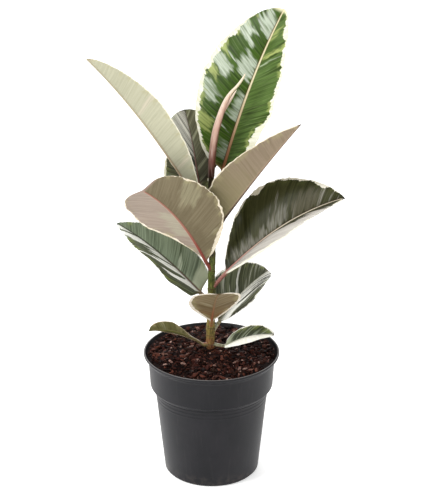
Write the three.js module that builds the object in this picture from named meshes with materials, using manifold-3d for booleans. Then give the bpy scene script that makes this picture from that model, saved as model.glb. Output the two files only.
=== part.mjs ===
// Potted variegated rubber plant (Ficus elastica): a young plant with twelve leaves and a new leaf still
// rolled in its sheath, growing in a 6 inch thin-walled nursery pot.
// Millimetres, +Z up. The origin is the centre of the pot's underside, and the plant's front faces -Y.
import * as THREE from "three";
import { mergeVertices } from "three/addons/utils/BufferGeometryUtils.js";
import Module from "manifold-3d";

const wasm = await Module();
wasm.setup();

// ---------------------------------------------------------------- driving dimensions
const GAP = 0.3; // clearance kept between neighbouring pieces

const POT = {
  height: 145,
  rimRadius: 76,
  rimDepth: 1, // height of the rim's rounded edge
  flareHeight: 8, // how far below the rim the collar starts to flare out
  collarTopRadius: 70.8,
  collarFootRadius: 68.6,
  collarFootHeight: 105,
  bodyTopRadius: 63,
  bodyTopHeight: 97,
  bodyFootRadius: 53.6,
  footRadius: 51,
  footHeight: 6,
  wall: 1.8,
  floor: 2.2,
  segments: 48,
};

// The underside: a flat centre pad and an outer foot ring carry the pot. The channel between them stands
// clear of the ground and holds the drain holes.
const BASE = { padRadius: 20, channelInner: 24, channelOuter: 44, footInner: 47, lift: 3.5 };
const DRAIN = { count: 6, radius: 4.5, circle: 34, length: 40, sides: 16 };

const SOIL = { edgeHeight: 142.5, mound: 4, rings: 5 };

// A shoot's centre line is a list of [x, y, z, radius].
const STEM = {
  sides: 12,
  steps: 24,
  line: [
    [-1, 6, 114, 4.4],
    [-1, 6, 140, 4.6],
    [-1, 6, 170, 4.8],
    [0, 6, 200, 4.2],
    [0, 6, 230, 3.9],
    [1, 6, 255, 3.6],
    [1, 6, 280, 3.5],
    [0, 7, 310, 3.3],
    [0, 8, 335, 3.2],
    [0, 8, 350, 3.2],
  ],
};

const SHEATH = {
  sides: 12,
  steps: 18,
  line: [
    [0, 8, 350 + GAP, 3.8],
    [1.5, 8, 375, 4],
    [4.5, 8, 398, 4],
    [9.2, 8, 416, 3.8],
    [13.2, 8, 428, 3.4],
    [16.5, 8, 436, 3],
    [21.3, 8, 444, 2.4],
    [28, 8, 451.5, 1.9],
    [33.2, 8, 459, 1.4],
    [36, 8, 464.5, 0.6],
  ],
};

const LEAF = {
  thickness: 1.3,
  petioleRadius: 2.1,
  petioleRings: 3,
  petioleBlend: 0.06, // share of the blade's length over which the petiole flattens into it
  midribDepth: 1.2,
  dripTip: 2.4, // half the width of the narrow tip where it starts
  dripShare: 0.1, // share of the blade's length that the narrow tip takes up
  rings: 14,
  strips: 8, // across the blade, on each face
};

// The leaves, from the soil up, and last the one at the back below leaf_08. Angles are in degrees. An azimuth
// of 0 is +X, and of -90 the front.
//   node     height at which the leaf leaves the stem's centre line
//   petiole  [length, climb, azimuth]
//   azimuth, climb, length, width   where the blade heads as it starts, and its size
//   sweep, bend                     the azimuth gained and the climb lost from base to tip
//   roll     turn about the midrib, + towards its right side
//   fold     climb of the [left, right] half away from the midrib
//   widest   share of the length where the [left, right] half is widest
//   blunt    how full the outline is at its [base, tip]: 1 is pointed, 0.5 is round
const LEAVES = [
  {
    name: "leaf_01", node: 150, petiole: [17, -2, -20], azimuth: -20, climb: 34, length: 62, width: 34,
    sweep: 5, bend: 32, roll: 10, fold: [25, 16], widest: [0.42, 0.42], blunt: [0.6, 0.5],
  },
  {
    name: "leaf_02", node: 150, petiole: [9, 2, 203], azimuth: 200, climb: 40, length: 71, width: 32,
    sweep: 0, bend: 42, roll: 40, fold: [25, 12], widest: [0.78, 0.62], blunt: [0.9, 0.4],
  },
  {
    name: "leaf_03", node: 170, petiole: [12, 60, -80], azimuth: -80, climb: 61, length: 73, width: 58,
    sweep: 0, bend: 31, roll: -2, fold: [8, 8], widest: [0.56, 0.56], blunt: [0.75, 0.5],
  },
  {
    name: "leaf_04", node: 161, petiole: [18, 50, 32], azimuth: 32, climb: 46, length: 81, width: 72,
    sweep: 0, bend: 26, roll: 18, fold: [28, 36], widest: [0.45, 0.54], blunt: [0.55, 0.5],
  },
  {
    name: "leaf_05", node: 202, petiole: [15, 37, 170], azimuth: 163, climb: 44, length: 123, width: 64,
    sweep: -8, bend: 24, roll: -17, fold: [22, 20], widest: [0.35, 0.35], blunt: [0.42, 0.7],
  },
  {
    name: "leaf_06", node: 218, petiole: [22, 50, -5], azimuth: -5, climb: 48, length: 163, width: 106,
    sweep: 0, bend: 30, roll: 20, fold: [35, 26], widest: [0.52, 0.5], blunt: [0.85, 0.8],
  },
  {
    name: "leaf_07", node: 240, petiole: [13, 56, 214], azimuth: 211, climb: 63, length: 128, width: 98,
    sweep: 0, bend: 28, roll: 54, fold: [10, 20], widest: [0.55, 0.7], blunt: [0.75, 0.3],
  },
  {
    name: "leaf_08", node: 286, petiole: [15, 45, -20], azimuth: -20, climb: 56, length: 152, width: 76,
    sweep: 0, bend: 4, roll: -20, fold: [40, 42], widest: [0.32, 0.3], blunt: [0.58, 0.8],
  },
  {
    name: "leaf_09", node: 305, petiole: [22, 46, 200], azimuth: 200, climb: 60, length: 212, width: 60,
    sweep: 0, bend: 12, roll: 20, fold: [40, 40], widest: [0.55, 0.55], blunt: [0.6, 0.6],
  },
  {
    name: "leaf_10", node: 318, petiole: [24, 50, 150], azimuth: 105, climb: 56, length: 93, width: 62,
    sweep: 0, bend: 26, roll: -10, fold: [5, 5], widest: [0.5, 0.5], blunt: [0.7, 0.5],
  },
  {
    name: "leaf_11", node: 329, petiole: [26, 52, 40], azimuth: 48, climb: 66, length: 189, width: 114,
    sweep: -16, bend: 9, roll: 0, fold: [30, 14], widest: [0.5, 0.5], blunt: [0.6, 0.55],
  },
  {
    name: "leaf_12", node: 262, petiole: [16, 50, 126], azimuth: 127, climb: 56, length: 104, width: 60,
    sweep: 4, bend: 14, roll: 0, fold: [12, 12], widest: [0.5, 0.5], blunt: [0.6, 0.6],
  },
];

const FINISH = {
  pot: { color: 0x3c3c40, roughness: 0.5 },
  soil: { color: 0x2b1a14, roughness: 1 },
  stem: { color: 0x6f6a35, roughness: 0.7 },
  sheath: { color: 0xb87d70, roughness: 0.5 },
  leaf: { color: 0x4c6a44, roughness: 0.35 },
};

// ---------------------------------------------------------------- helpers
const { degToRad, lerp, smoothstep } = THREE.MathUtils;

// A closed surface through rings of equally many points, with a fan over each end.
function loft(rings) {
  const count = rings[0].length;
  const points = rings.flat();
  const faces = [];
  for (let i = 0; i + 1 < rings.length; i++) {
    for (let j = 0; j < count; j++) {
      const a = i * count + j;
      const b = i * count + ((j + 1) % count);
      faces.push(a, b, b + count, a, b + count, a + count);
    }
  }
  for (const last of [false, true]) {
    const first = last ? (rings.length - 1) * count : 0;
    const centre = new THREE.Vector3();
    for (let j = 0; j < count; j++) centre.addScaledVector(points[first + j], 1 / count);
    const hub = points.push(centre) - 1;
    for (let j = 0; j < count; j++) {
      const a = first + j;
      const b = first + ((j + 1) % count);
      faces.push(...(last ? [a, b, hub] : [b, a, hub]));
    }
  }
  const geometry = new THREE.BufferGeometry().setFromPoints(points);
  geometry.setIndex(faces);
  return geometry;
}

function lathe(profile) {
  const points = profile.map(([r, z]) => new THREE.Vector2(r, z));
  return new THREE.LatheGeometry(points, POT.segments).rotateX(Math.PI / 2);
}

// three.js geometry to a manifold-3d solid, and back.
function solid(geometry) {
  const bare = new THREE.BufferGeometry();
  bare.setAttribute("position", geometry.getAttribute("position"));
  bare.setIndex(geometry.index);
  const merged = mergeVertices(bare, 1e-4);
  const vertProperties = merged.getAttribute("position").array;
  const triVerts = new Uint32Array(merged.index.array);
  return new wasm.Manifold(new wasm.Mesh({ numProp: 3, vertProperties, triVerts }));
}

function geometryOf(manifold) {
  const mesh = manifold.getMesh();
  const geometry = new THREE.BufferGeometry();
  geometry.setAttribute("position", new THREE.BufferAttribute(mesh.vertProperties, mesh.numProp));
  geometry.setIndex(new THREE.BufferAttribute(mesh.triVerts, 1));
  geometry.computeVertexNormals();
  return geometry;
}

// ---------------------------------------------------------------- stem and sheath
// A tapering shoot of level rings along its line, grown by extra all round.
function shoot({ line, sides, steps }, extra = 0) {
  const curve = new THREE.CatmullRomCurve3(line.map(([x, y, z]) => new THREE.Vector3(x, y, z)));
  const rings = [];
  for (let i = 0; i <= steps; i++) {
    const at = (i / steps) * (line.length - 1);
    const k = Math.min(Math.floor(at), line.length - 2);
    const radius = lerp(line[k][3], line[k + 1][3], at - k) + extra;
    const centre = curve.getPoint(i / steps);
    const ring = Array.from({ length: sides }, (_, j) => {
      const angle = (2 * Math.PI * j) / sides;
      return new THREE.Vector3(radius * Math.cos(angle), radius * Math.sin(angle), 0).add(centre);
    });
    rings.push(ring);
  }
  return loft(rings);
}

// The stem's centre at a height.
function stemCentre(height) {
  const k = STEM.line.findIndex((point) => point[2] > height);
  const [below, above] = [STEM.line[k - 1], STEM.line[k]];
  const t = (height - below[2]) / (above[2] - below[2]);
  return new THREE.Vector3(lerp(below[0], above[0], t), lerp(below[1], above[1], t), height);
}

// ---------------------------------------------------------------- leaves
// The width of the blade's [left, right] half where the midrib has come a share s of its length.
function halfWidths(leaf, s) {
  return leaf.widest.map((widest) => {
    const skew = Math.log(0.5) / Math.log(widest);
    const oval = Math.max(Math.sin(Math.PI * s ** skew), 0) ** lerp(...leaf.blunt, s);
    const dripTip = LEAF.dripTip * Math.min((1 - s) / LEAF.dripShare, 1);
    return Math.max((leaf.width / 2) * oval, dripTip, LEAF.thickness / 2);
  });
}

// A leaf's own directions: along its midrib, to its right, and up from its upper face.
function directions(leaf, azimuth, climb) {
  const [turn, rise] = [degToRad(azimuth), degToRad(climb)];
  const right = new THREE.Vector3(Math.sin(turn), -Math.cos(turn), 0);
  const along = new THREE.Vector3(Math.cos(turn), Math.sin(turn), 0);
  along.multiplyScalar(Math.cos(rise)).setZ(Math.sin(rise));
  const up = new THREE.Vector3().crossVectors(right, along);
  right.applyAxisAngle(along, degToRad(leaf.roll));
  up.applyAxisAngle(along, degToRad(leaf.roll));
  return { along, right, up };
}

function bladeDirections(leaf, s) {
  return directions(leaf, leaf.azimuth + leaf.sweep * s, leaf.climb - leaf.bend * s ** 1.5);
}

// One ring of a leaf, part of the way (blend, 0 to 1) from a round petiole to a flat blade. It runs over the
// upper face from the left margin to the right one, and back along the underside.
function leafRing(leaf, centre, { right, up }, halves, blend, s) {
  const { strips, thickness, petioleRadius } = LEAF;
  return Array.from({ length: 2 * strips }, (_, j) => {
    const upper = j <= strips;
    const across = upper ? (2 * j) / strips - 1 : 3 - (2 * j) / strips;
    const away = Math.abs(across);
    const side = across < 0 ? 0 : 1;
    const half = halves[side];
    const climb = degToRad(leaf.fold[side]);
    const midrib = upper || away > 0 ? 0 : LEAF.midribDepth * (1 - s);
    const skin = ((upper ? 1 : -1) * thickness * (1 - away ** 4)) / 2 - midrib;
    const flatRight = across * half * Math.cos(climb) - Math.sign(across) * skin * Math.sin(climb);
    const flatUp = away * half * Math.sin(climb) + skin * Math.cos(climb);
    const angle = Math.PI * (1 - j / strips);
    return new THREE.Vector3()
      .addScaledVector(right, lerp(petioleRadius * Math.cos(angle), flatRight, blend))
      .addScaledVector(up, lerp(petioleRadius * Math.sin(angle), flatUp, blend))
      .add(centre);
  });
}

// The petiole starts on the stem's centre line, and the midrib carries on from its end.
function leafGeometry(leaf) {
  const centre = stemCentre(leaf.node);
  const [petioleLength, petioleClimb, petioleAzimuth] = leaf.petiole;
  const petiole = directions(leaf, petioleAzimuth, petioleClimb);
  const rings = [];
  for (let i = 0; i < LEAF.petioleRings; i++) {
    rings.push(leafRing(leaf, centre, petiole, [0, 0], 0, 0));
    centre.addScaledVector(petiole.along, petioleLength / LEAF.petioleRings);
  }
  let before = 0;
  for (let i = 0; i <= LEAF.rings; i++) {
    const s = (1 - Math.cos((Math.PI * i) / LEAF.rings)) / 2;
    const blend = smoothstep(s, 0, LEAF.petioleBlend);
    centre.addScaledVector(bladeDirections(leaf, (s + before) / 2).along, leaf.length * (s - before));
    rings.push(leafRing(leaf, centre, bladeDirections(leaf, s), halfWidths(leaf, s), blend, s));
    before = s;
  }
  return loft(rings);
}

// ---------------------------------------------------------------- pot and soil
// The inner wall as [radius, height], from the floor up to the rim.
function innerWall() {
  const floorTop = BASE.lift + POT.floor;
  return [
    [POT.bodyFootRadius - POT.wall - 2, floorTop],
    [POT.bodyFootRadius - POT.wall, floorTop + 2],
    [POT.bodyTopRadius - POT.wall, POT.bodyTopHeight + 1],
    [POT.collarFootRadius - POT.wall, POT.collarFootHeight + 1],
    [POT.collarTopRadius - POT.wall, POT.height - POT.flareHeight],
    [POT.rimRadius - 2 * POT.wall, POT.height - 3],
  ];
}

function potGeometry() {
  const profile = [
    [0, 0],
    [BASE.padRadius, 0],
    [BASE.channelInner, BASE.lift],
    [BASE.channelOuter, BASE.lift],
    [BASE.footInner, 0],
    [POT.footRadius, 0],
    [POT.footRadius + 0.4, POT.footHeight],
    [POT.bodyFootRadius, POT.footHeight + 1.5],
    [POT.bodyTopRadius, POT.bodyTopHeight],
    [POT.collarFootRadius, POT.collarFootHeight],
    [POT.collarTopRadius, POT.height - POT.flareHeight],
    [POT.rimRadius - POT.wall, POT.height - POT.flareHeight / 2],
    [POT.rimRadius, POT.height - 2 * POT.rimDepth],
    [POT.rimRadius, POT.height - POT.rimDepth],
    [POT.rimRadius - POT.rimDepth, POT.height],
    [POT.rimRadius - POT.wall, POT.height],
    ...innerWall().reverse(),
    [0, BASE.lift + POT.floor],
  ];
  let pot = solid(lathe(profile));
  for (let i = 0; i < DRAIN.count; i++) {
    const angle = (2 * Math.PI * (i + 0.5)) / DRAIN.count;
    const drill = new THREE.CylinderGeometry(DRAIN.radius, DRAIN.radius, DRAIN.length, DRAIN.sides);
    drill.rotateX(Math.PI / 2);
    drill.translate(DRAIN.circle * Math.cos(angle), DRAIN.circle * Math.sin(angle), 0);
    pot = pot.subtract(solid(drill));
  }
  return geometryOf(pot);
}

// The soil fills the pot up to a low mound round the stem.
function soilGeometry(stemRoom) {
  const walls = innerWall().filter(([, z]) => z < SOIL.edgeHeight);
  const inner = walls.map(([r, z], i) => [r - GAP, z + (i === 0 ? GAP : 0)]);
  const edgeRadius = inner.at(-1)[0];
  const surface = [];
  for (let i = 0; i <= SOIL.rings; i++) {
    const share = 1 - i / SOIL.rings;
    surface.push([edgeRadius * share, SOIL.edgeHeight + SOIL.mound * (1 - share ** 2)]);
  }
  const profile = [[0, inner[0][1]], ...inner, ...surface];
  return geometryOf(solid(lathe(profile)).subtract(stemRoom));
}

// ---------------------------------------------------------------- the part
const plant = new THREE.Group();

function add(name, geometry, finish) {
  const material = new THREE.MeshStandardMaterial({ ...finish, metalness: 0 });
  const mesh = new THREE.Mesh(geometry, material);
  mesh.name = name;
  plant.add(mesh);
}

const stemRoom = solid(shoot(STEM, GAP));
add("nursery_pot", potGeometry(), FINISH.pot);
add("potting_soil", soilGeometry(stemRoom), FINISH.soil);
add("stem", shoot(STEM), FINISH.stem);
add("leaf_sheath", shoot(SHEATH), FINISH.sheath);
for (const leaf of LEAVES) {
  add(leaf.name, geometryOf(solid(leafGeometry(leaf)).subtract(stemRoom)), FINISH.leaf);
}

export default plant;
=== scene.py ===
"""A young variegated rubber plant in a nursery pot: the looks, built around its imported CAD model.

Lengths in the tables are millimetres and angles are degrees, as in the CAD source. +Z is up, the origin is
the centre of the pot's underside, and the plant's front faces -Y. Every piece is made in millimetres and
scaled to metres as its mesh is made.
"""
import math
from collections import namedtuple

import bpy
import numpy as np
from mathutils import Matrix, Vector, noise


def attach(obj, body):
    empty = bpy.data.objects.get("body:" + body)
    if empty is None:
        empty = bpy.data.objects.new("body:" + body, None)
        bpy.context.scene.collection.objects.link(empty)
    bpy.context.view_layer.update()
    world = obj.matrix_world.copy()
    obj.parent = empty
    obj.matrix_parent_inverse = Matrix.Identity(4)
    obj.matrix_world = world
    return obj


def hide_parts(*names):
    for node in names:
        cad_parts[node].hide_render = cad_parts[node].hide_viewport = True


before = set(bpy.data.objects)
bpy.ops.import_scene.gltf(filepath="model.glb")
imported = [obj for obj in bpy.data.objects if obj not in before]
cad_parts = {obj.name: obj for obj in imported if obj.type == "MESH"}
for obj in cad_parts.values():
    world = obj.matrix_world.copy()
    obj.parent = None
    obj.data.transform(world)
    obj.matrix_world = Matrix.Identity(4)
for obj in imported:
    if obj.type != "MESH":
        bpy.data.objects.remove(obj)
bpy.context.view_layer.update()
MM = 0.001

# ------------ camera, lights and floor, in metres
CAMERA = {"place": (0.0067, -1.8, 1.015), "tilt": 67.5, "lens": 129.7, "sensor": 36}
AIM = (0, 0, 0.28)
# Each soft box: its place, width, height and watts.
SOFT_BOXES = {
    "key": ((-1.4, -0.7, 1.4), 0.9, 1.2, 32),
    "fill": ((1.5, -1.1, 0.9), 0.7, 1.2, 7),
    "back": ((-0.3, 2.6, 1.9), 2.2, 1.4, 46),
}
WORLD_LIGHT = 0.5
FLOOR = {"half": 60, "glow": 0.5}


def added(name, data):
    """An object put in the scene."""
    made = bpy.data.objects.new(name, data)
    bpy.context.scene.collection.objects.link(made)
    return made


def make_camera():
    data = bpy.data.cameras.new("camera")
    data.lens = CAMERA["lens"]
    data.sensor_width = CAMERA["sensor"]
    camera = added("camera", data)
    camera.location = CAMERA["place"]
    camera.rotation_euler = (math.radians(CAMERA["tilt"]), 0, 0)
    bpy.context.scene.camera = camera


def soft_light(name, place, width, height, watts):
    """A rectangular soft box at place, facing the plant."""
    data = bpy.data.lights.new(name, "AREA")
    data.shape = "RECTANGLE"
    data.size = width
    data.size_y = height
    data.energy = watts
    light = added(name, data)
    light.location = place
    light.rotation_euler = (Vector(AIM) - Vector(place)).to_track_quat("-Z", "Y").to_euler()


def make_surroundings():
    """Plain white surroundings, shown without a film curve."""
    world = bpy.data.worlds.new("studio")
    world.use_nodes = True
    background = world.node_tree.nodes["Background"]
    background.inputs["Color"].default_value = (1, 1, 1, 1)
    background.inputs["Strength"].default_value = WORLD_LIGHT
    bpy.context.scene.world = world
    bpy.context.scene.view_settings.view_transform = "Standard"


def make_floor():
    """A wide near-white floor that glows faintly, as a lit table does."""
    mesh = bpy.data.meshes.new("floor")
    half = FLOOR["half"]
    corners = [(-half, -half, 0), (half, -half, 0), (half, half, 0), (-half, half, 0)]
    mesh.from_pydata(corners, [], [(0, 1, 2, 3)])
    floor = added("floor", mesh)
    paint = Paint("floor_white")
    grain = paint.noise(paint.place(), 0.02)
    paint.done(paint.mix(grain, "#f4f4f3", "#f7f7f6"), 0.9)
    paint.put(paint.shader.inputs["Emission Color"], (1, 1, 1, 1))
    paint.put(paint.shader.inputs["Emission Strength"], FLOOR["glow"])
    mesh.materials.append(paint.material)


# ------------ painting with nodes
def colour(code):
    """A linear colour from an sRGB code like #8f8468."""
    parts = [int(code[i:i + 2], 16) / 255 for i in (1, 3, 5)]
    return (*(v / 12.92 if v <= 0.04045 else ((v + 0.055) / 1.055) ** 2.4 for v in parts), 1)


class Paint:
    """One Principled material painted by nodes. A method adds a node and returns its output."""

    def __init__(self, name):
        self.material = bpy.data.materials.new(name)
        self.material.use_nodes = True
        self.tree = self.material.node_tree
        self.shader = self.tree.nodes["Principled BSDF"]

    def add(self, kind, inputs, **settings):
        node = self.tree.nodes.new("ShaderNode" + kind)
        for key, value in settings.items():
            setattr(node, key, value)
        for key, value in inputs.items():
            self.put(node.inputs[key], value)
        return node

    def put(self, socket, value):
        """Links or sets an input. A text is a colour code."""
        if isinstance(value, bpy.types.NodeSocket):
            self.tree.links.new(value, socket)
        else:
            socket.default_value = colour(value) if isinstance(value, str) else value

    def place(self):
        """The point on the object, in millimetres."""
        point = self.add("TexCoord", {}).outputs["Object"]
        return self.add("VectorMath", {0: point, "Scale": 1 / MM}, operation="SCALE").outputs[0]

    def attribute(self, name):
        return self.add("Attribute", {}, attribute_name=name).outputs["Vector"]

    def split(self, vector):
        return self.add("SeparateXYZ", {0: vector}).outputs[:]

    def join(self, x, y, z):
        return self.add("CombineXYZ", {0: x, 1: y, 2: z}).outputs[0]

    def math(self, operation, a, b=0.0, c=0.0):
        return self.add("Math", {0: a, 1: b, 2: c}, operation=operation).outputs[0]

    def plus(self, a, b):
        return self.math("ADD", a, b)

    def minus(self, a, b):
        return self.math("SUBTRACT", a, b)

    def times(self, a, b):
        return self.math("MULTIPLY", a, b)

    def scaled(self, value, size, start):
        """value times size, plus start."""
        return self.math("MULTIPLY_ADD", value, size, start)

    def stretched(self, vector, scales):
        """vector scaled along X, Y and Z, so that noise is drawn out where the scale is small."""
        return self.add("VectorMath", {0: vector, 1: scales}, operation="MULTIPLY").outputs[0]

    def rise(self, value, low, high):
        """0 up to low, 1 from high on, and smooth between. With low above high it falls instead."""
        inputs = {"Value": value, "From Min": low, "From Max": high}
        return self.add("MapRange", inputs, interpolation_type="SMOOTHSTEP").outputs[0]

    def mix(self, share, a, b):
        node = self.add("Mix", {0: share, 6: a, 7: b}, data_type="RGBA")
        return node.outputs[2]

    def ramp(self, value, base, *steps):
        """base, taken over by the colour of each (low, high, colour) as value rises past it."""
        for low, high, code in steps:
            base = self.mix(self.rise(value, low, high), base, code)
        return base

    def noise(self, vector, scale=1.0, detail=2.0):
        inputs = {"Vector": vector, "Scale": scale, "Detail": detail}
        return self.add("TexNoise", inputs).outputs[0]

    def cells(self, vector, scale):
        """The distance from the nearest of many scattered points."""
        return self.add("TexVoronoi", {"Vector": vector, "Scale": scale}).outputs["Distance"]

    def done(self, base, roughness, height=None, depth=0.1, specular=0.3):
        """Wires up the shader. height, from 0 to 1, becomes a bump of depth millimetres."""
        self.put(self.shader.inputs["Base Color"], base)
        self.put(self.shader.inputs["Roughness"], roughness)
        self.put(self.shader.inputs["Specular IOR Level"], specular)
        if height is not None:
            bump = self.add("Bump", {"Height": height, "Distance": depth * MM})
            self.put(self.shader.inputs["Normal"], bump.outputs[0])
        return self.material


# ------------ meshes
def piece(name, points, materials, stands_for=(), faces=None, paint_of=None, smooth=True):
    """A mesh object from points in millimetres, which are lofted rings unless faces are given. paint_of gives
    each face's material index."""
    if faces is None:
        faces = loft_faces(*points.shape[:2])
    mesh = bpy.data.meshes.new(name)
    mesh.from_pydata((points.reshape(-1, 3) * MM).tolist(), [], faces)
    for material in materials:
        mesh.materials.append(material)
    if paint_of is not None:
        mesh.polygons.foreach_set("material_index", paint_of)
    mesh.polygons.foreach_set("use_smooth", [smooth] * len(mesh.polygons))
    mesh.validate()
    made = added(name, mesh)
    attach(made, "root")
    if stands_for:
        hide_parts(*stands_for)
    return made


def angles(count):
    return np.linspace(0, 2 * np.pi, count, endpoint=False)


def lathe(profile, count):
    """Rings of count points round Z, one for each (radius, height) of the profile."""
    turn = angles(count)
    radius, height = np.array(profile, float).T[..., None]
    return np.stack([radius * np.cos(turn), radius * np.sin(turn), height + 0 * turn], -1)


def loft_faces(rows, count):
    """Faces that join rows of count points each, going round, with a cap over each end."""
    start = np.arange(rows - 1)[:, None] * count
    here = np.arange(count)[None, :]
    after = (here + 1) % count
    quads = np.stack([start + here, start + after, start + count + after, start + count + here], -1)
    last = (rows - 1) * count
    return quads.reshape(-1, 4).tolist() + [list(range(count))[::-1], list(range(last, last + count))]


def note(mesh, name, vectors):
    """Stores a vector for each point, for the material to read."""
    mesh.attributes.new(name, "FLOAT_VECTOR", "POINT").data.foreach_set("vector", vectors.ravel())


def smoothstep(value, low, high):
    share = np.clip((value - low) / (high - low), 0, 1)
    return share * share * (3 - 2 * share)


def bell(distance, size):
    """A smooth bump with a (height, reach), highest where distance is 0."""
    height, reach = size
    return height * np.exp(-(distance / reach) ** 2)


def wander(places, seed, size):
    """Smooth noise from -1 to 1 along a list of places, which changes over about size."""
    return np.array([noise.noise(Vector((p / size, seed * 7.3, 0.5))) * 2 for p in places])


# ------------ pot
POT_SEGMENTS = 192
# The (radius, height) where the plain wall starts, above the foot, and where it ends, below the collar.
WALL = ((53.6, 6), (63, 97))
# Heights of the thin ribs, and a rib's section as (out, up, rounding) from the wall.
RIBS = (90.2, 94.6, 99)
RIB = ((-0.1, -1.3, 0.4), (0.24, 0, 0.5), (0.05, 1.3, 0.4))
DRAIN = {"count": 6, "radius": 4.5, "circle": 34, "middle": 4, "depth": 12}


def rounded(corners, steps=4):
    """A line through (radius, height, rounding) corners, each rounded over that length."""
    line = []
    for i, (r, z, size) in enumerate(corners):
        corner = np.array([r, z], float)
        if size == 0 or i in (0, len(corners) - 1):
            line.append(corner)
            continue
        sides = [np.array(corners[k][:2], float) - corner for k in (i - 1, i + 1)]
        ends = [corner + side / np.linalg.norm(side) * size for side in sides]
        for k in range(steps + 1):
            t = k / steps
            line.append((1 - t) ** 2 * ends[0] + 2 * t * (1 - t) * corner + t * t * ends[1])
    return line


def pot_profile():
    """The pot's section from the middle of its underside, up the outside, over the rim and down inside."""
    foot = [(2, 0, 0), (20, 0, 1), (24, 3.5, 1), (44, 3.5, 1), (47, 0, 0.6), (51, 0, 0.5)]
    foot += [(51.2, 1.3, 0.3), (53.2, 2.4, 0.6)]
    (low_radius, low), (high_radius, high) = WALL
    ribs = []
    for height in RIBS:
        radius = low_radius + (high_radius - low_radius) * (height - low) / (high - low)
        ribs += [(radius + out, height + up, rounding) for out, up, rounding in RIB]
    collar = [(64.2, 100.6, 1), (68.4, 104.6, 1.6), (68.9, 106.5, 0.8), (70.8, 137, 1.5)]
    rim = [(73.4, 139.8, 1.4), (75.8, 142.4, 0.8), (76, 144.2, 0.5), (75.2, 145, 0.4), (74.2, 144.8, 0.4)]
    inside = [(73, 142.4, 1), (69.1, 137, 1.2), (66.9, 106, 1), (61.2, 98, 1), (51.8, 7.7, 1)]
    inside += [(49.8, 5.7, 0.8), (2, 5.7, 0)]
    return rounded(foot + ribs + collar + rim + inside)


def pot_paint():
    """Near-black polypropylene: satin, finely grained, with rubbed and dusty places, and a painted highlight
    along the top of the rim.
    """
    paint = Paint("pot_plastic")
    place = paint.place()
    _, _, height = paint.split(place)
    broad = paint.noise(place, 0.025, 3)
    base = paint.mix(paint.rise(broad, 0.35, 0.7), "#16161a", "#1f1e22")
    streaked = paint.stretched(place, (0.35, 0.35, 0.02))
    rubbed = paint.rise(paint.noise(streaked, 1, 4), 0.55, 0.8)
    base = paint.mix(paint.times(rubbed, 0.06), base, "#5d5755")
    dusty = paint.rise(paint.noise(place, 0.15, 4), 0.4, 0.7)
    dust = paint.times(paint.rise(height, 18, 0), dusty)
    base = paint.mix(paint.times(dust, 0.3), base, "#5f554d")
    # Painted highlight: the top of the rim is painted lighter grey where its edge catches the light.
    base = paint.mix(paint.times(paint.rise(height, 144.3, 144.9), 0.5), base, "#8f8b8a")
    grain = paint.noise(place, 2.2, 3)
    return paint.done(base, paint.scaled(broad, 0.16, 0.34), grain, 0.03, 0.2)


def make_pot():
    rings = lathe(pot_profile(), POT_SEGMENTS)
    pot = piece("pot", rings, [pot_paint()], ["nursery_pot"])
    cut_drain_holes(pot)


def cut_drain_holes(pot):
    """Cuts the drain holes with boolean drills, then drops the drills."""
    circle, radius, middle, depth = (DRAIN[key] * MM for key in ("circle", "radius", "middle", "depth"))
    for i in range(DRAIN["count"]):
        angle = math.radians(360 / DRAIN["count"] * (i + 0.5))
        place = (circle * math.cos(angle), circle * math.sin(angle), middle)
        bpy.ops.mesh.primitive_cylinder_add(vertices=32, radius=radius, depth=depth, location=place)
        drill = bpy.context.object
        cut = pot.modifiers.new("drain", "BOOLEAN")
        cut.operation = "DIFFERENCE"
        cut.solver = "EXACT"
        cut.object = drill
        evaluated = pot.evaluated_get(bpy.context.evaluated_depsgraph_get())
        holed = bpy.data.meshes.new_from_object(evaluated)
        pot.modifiers.clear()
        pot.data = holed
        bpy.data.objects.remove(drill)


# ------------ potting mix
SOIL = {"radius": 72.3, "edge": 142, "mound": 4, "rings": 66, "segments": 160}


def soil_height(x, y):
    """The lumpy surface of the mix at a point."""
    share = min(math.hypot(x, y) / SOIL["radius"], 1)
    lumps = noise.noise(Vector((x / 11, y / 11, 3))) * 1.8
    lumps += noise.noise(Vector((x / 3.5, y / 3.5, 8))) * 0.9
    return SOIL["edge"] + SOIL["mound"] * (1 - share * share) + (lumps - 0.6) * (1 - share ** 8)


def soil_paint():
    """The moist fine peat between the chips."""
    paint = Paint("peat")
    place = paint.place()
    fibre = paint.noise(place, 0.9, 5)
    base = paint.mix(paint.rise(fibre, 0.4, 0.75), "#080201", "#23110d")
    return paint.done(base, 0.85, fibre, 0.6, 0.1)


def chip_paint(name):
    """Bark chips. Each has its own tone, from near-black through red-brown to a few pale pinkish ones."""
    paint = Paint(name)
    tone, hue, shine = paint.split(paint.attribute("chip"))
    place = paint.place()
    base = paint.ramp(tone, "#110302", (0.1, 0.75, "#3f1c14"), (0.72, 0.94, "#673a2d"), (0.91, 1, "#b08f84"))
    base = paint.mix(paint.times(paint.rise(hue, 0.6, 1), 0.4), base, "#3d2515")
    fibre = paint.noise(paint.stretched(place, (1, 0.4, 1)), 1.1, 5)
    base = paint.mix(paint.times(paint.rise(fibre, 0.55, 0.36), 0.7), base, "#0f0807")
    return paint.done(base, paint.scaled(shine, 0.35, 0.5), fibre, 0.45, 0.1)


def make_soil():
    """The mix fills the pot: a plain wall just inside the pot's own, and a lumpy surface."""
    wall = [(49.4, 6.1), (51.4, 8), (60.8, 98.2), (66.5, 106.3), (68.6, 137)]
    surface = [(SOIL["radius"] * (1 - i / SOIL["rings"]), 0) for i in range(SOIL["rings"])]
    rings = lathe(wall + surface, SOIL["segments"])
    for point in rings[len(wall):].reshape(-1, 3):
        point[2] = soil_height(point[0], point[1])
    piece("soil", rings, [soil_paint()], ["potting_soil"])


# A chip is a ball about 1 across, cut by flats at random depths and tilted by about lean. Within clear of the
# stem, chips lie deeper by sink of their thickness.
CHIP = {"ball": 0.62, "flats": 9, "depths": (0.26, 0.5), "lean": 0.4, "clear": 12, "sink": 0.5}
STEM_FOOT = (0, 6)


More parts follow.
